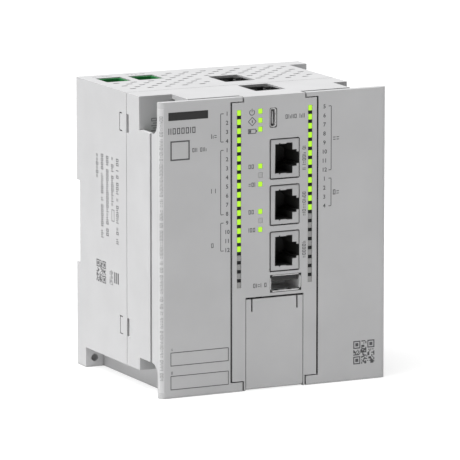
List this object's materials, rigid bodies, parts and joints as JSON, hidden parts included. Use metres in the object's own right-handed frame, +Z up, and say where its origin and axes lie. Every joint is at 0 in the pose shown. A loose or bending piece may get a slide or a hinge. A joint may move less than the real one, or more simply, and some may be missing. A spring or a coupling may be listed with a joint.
{
  "type": "programmable logic controller",
  "caption": "Upright boxy programmable controller for a DIN rail: hinged terminal doors, indicator columns, network and USB sockets, and a small service cover.",
  "frame": {"origin": "centre of the underside of the case", "axes": "+Z up, -Y out of the front face, +X to the right seen from the front"},
  "size_m": [0.105, 0.083, 0.124],
  "materials": {
    "case_plastic": "satin",
    "door_plastic": "satin",
    "steel": "plain",
    "jack_shell": "satin",
    "contact_metal": "plain",
    "light_guide": "satin",
    "black_plastic": "satin",
    "led_chip": "satin",
    "circuit_board": "satin",
    "green_plastic": "satin",
    "white_plastic": "satin",
    "cell_metal": "plain",
    "transformer": "satin",
    "capacitor_sleeve": "satin"
  },
  "bodies": {
    "controller": {"battery_clip": "steel", "battery_holder": "black_plastic", "board_connectors": "black_plastic", "bus_socket": "green_plastic", "capacitors": "capacitor_sleeve", "card_slot": "steel", "channel_leds": "led_chip", "coin_cell": "cell_metal", "cover_hinge_pin": "steel", "cpu_board": "circuit_board", "door_hinge_pins": "steel", "ethernet_jack_1": "jack_shell", "ethernet_jack_2": "jack_shell", "ethernet_jack_3": "jack_shell", "front_case": "case_plastic", "io_board_left": "circuit_board", "io_board_right": "circuit_board", "jack_contacts": "contact_metal", "latch_spring_left": "steel", "latch_spring_right": "steel", "light_baffle_left": "black_plastic", "light_baffle_right": "black_plastic", "light_guide_left": "light_guide", "light_guide_right": "light_guide", "power_board": "circuit_board", "power_socket": "green_plastic", "power_transformer": "transformer", "processor_chips": "black_plastic", "rear_case": "case_plastic", "reset_switch": "black_plastic", "run_stop_switch": "black_plastic", "socket_pins": "contact_metal", "status_leds": "led_chip", "status_light_guide": "light_guide", "terminal_header_left": "green_plastic", "terminal_header_right": "green_plastic", "terminal_plug_left": "green_plastic", "terminal_plug_right": "green_plastic", "terminal_screws_left": "steel", "terminal_screws_right": "steel", "top_jack_front": "jack_shell", "top_jack_rear": "jack_shell", "usb_device_socket": "steel", "usb_device_tongue": "jack_shell", "usb_host_socket": "steel", "usb_host_tongue": "black_plastic", "wire_clamps_left": "steel", "wire_clamps_right": "steel"},
    "left_door": {"left_door": "door_plastic"},
    "right_door": {"right_door": "door_plastic"},
    "service_cover": {"service_cover": "door_plastic"},
    "run_stop_lever": {"run_stop_lever": "white_plastic"},
    "reset_button": {"reset_button": "white_plastic"},
    "memory_card": {"memory_card": "black_plastic"},
    "rail_latch_left": {"rail_latch_left": "case_plastic"},
    "rail_latch_right": {"rail_latch_right": "case_plastic"}
  },
  "joints": [
    {"name": "left_door_hinge", "type": "hinge", "parent": "controller", "child": "left_door", "pos_m": [-0.017, -0.04, 0.062], "axis": [0, 0, 1], "range_deg": [0, 90]},
    {"name": "right_door_hinge", "type": "hinge", "parent": "controller", "child": "right_door", "pos_m": [0.017, -0.04, 0.062], "axis": [0, 0, -1], "range_deg": [0, 90]},
    {"name": "service_cover_hinge", "type": "hinge", "parent": "controller", "child": "service_cover", "pos_m": [0, -0.0398, 0.0018], "axis": [1, 0, 0], "range_deg": [0, 88]},
    {"name": "run_stop_slide", "type": "slide", "parent": "controller", "child": "run_stop_lever", "axis": [0, 0, -1], "range_m": [0, 0.004]},
    {"name": "reset_press", "type": "slide", "parent": "controller", "child": "reset_button", "axis": [0, 1, 0], "range_m": [0, 0.0005], "stiffness_N_per_m": 300, "springref_m": -0.001},
    {"name": "memory_card_slide", "type": "slide", "parent": "controller", "child": "memory_card", "axis": [0, -1, 0], "range_m": [0, 0.0078]},
    {"name": "rail_latch_left_slide", "type": "slide", "parent": "controller", "child": "rail_latch_left", "axis": [0, 0, -1], "range_m": [0, 0.005], "stiffness_N_per_m": 400, "springref_m": -0.002, "deforming": ["latch_spring_left"]},
    {"name": "rail_latch_right_slide", "type": "slide", "parent": "controller", "child": "rail_latch_right", "axis": [0, 0, -1], "range_m": [0, 0.005], "stiffness_N_per_m": 400, "springref_m": -0.002, "deforming": ["latch_spring_right"]}
  ]
}
